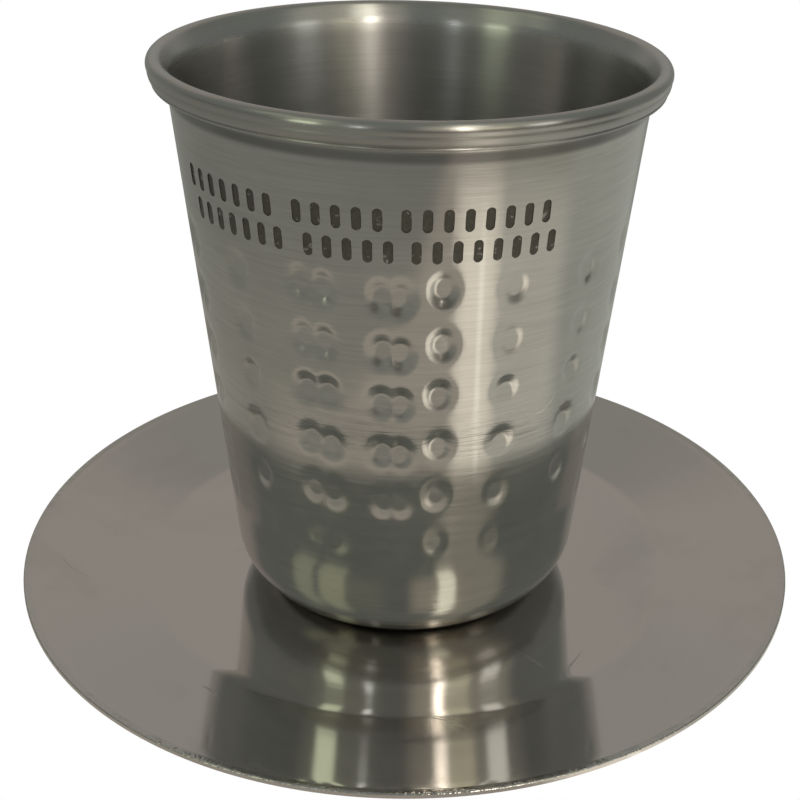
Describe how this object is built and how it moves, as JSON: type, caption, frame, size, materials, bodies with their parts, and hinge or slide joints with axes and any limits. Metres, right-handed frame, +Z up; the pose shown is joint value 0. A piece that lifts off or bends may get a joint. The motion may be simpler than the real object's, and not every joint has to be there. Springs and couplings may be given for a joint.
{
  "type": "kiddush cup with saucer",
  "caption": "Tapered stainless steel wine cup with a pressed rim band, rows of struck dimples and a band of cut strokes, standing on a thin round saucer.",
  "frame": {"origin": "middle of the saucer's flat underside", "axes": "+Z up along the saucer's axis, -Y towards the front of the cup, where the middle of the band of strokes is"},
  "size_m": [0.11, 0.11, 0.076],
  "materials": {
    "brushed_steel": "Stainless steel, fine brush lines running round the wall, dark fill in the cut strokes",
    "polished_steel": "Stainless steel, bright polished, with faint smudges and hairline scratches"
  },
  "bodies": {
    "root": {"cup": "brushed_steel", "saucer": "polished_steel"}
  },
  "joints": []
}
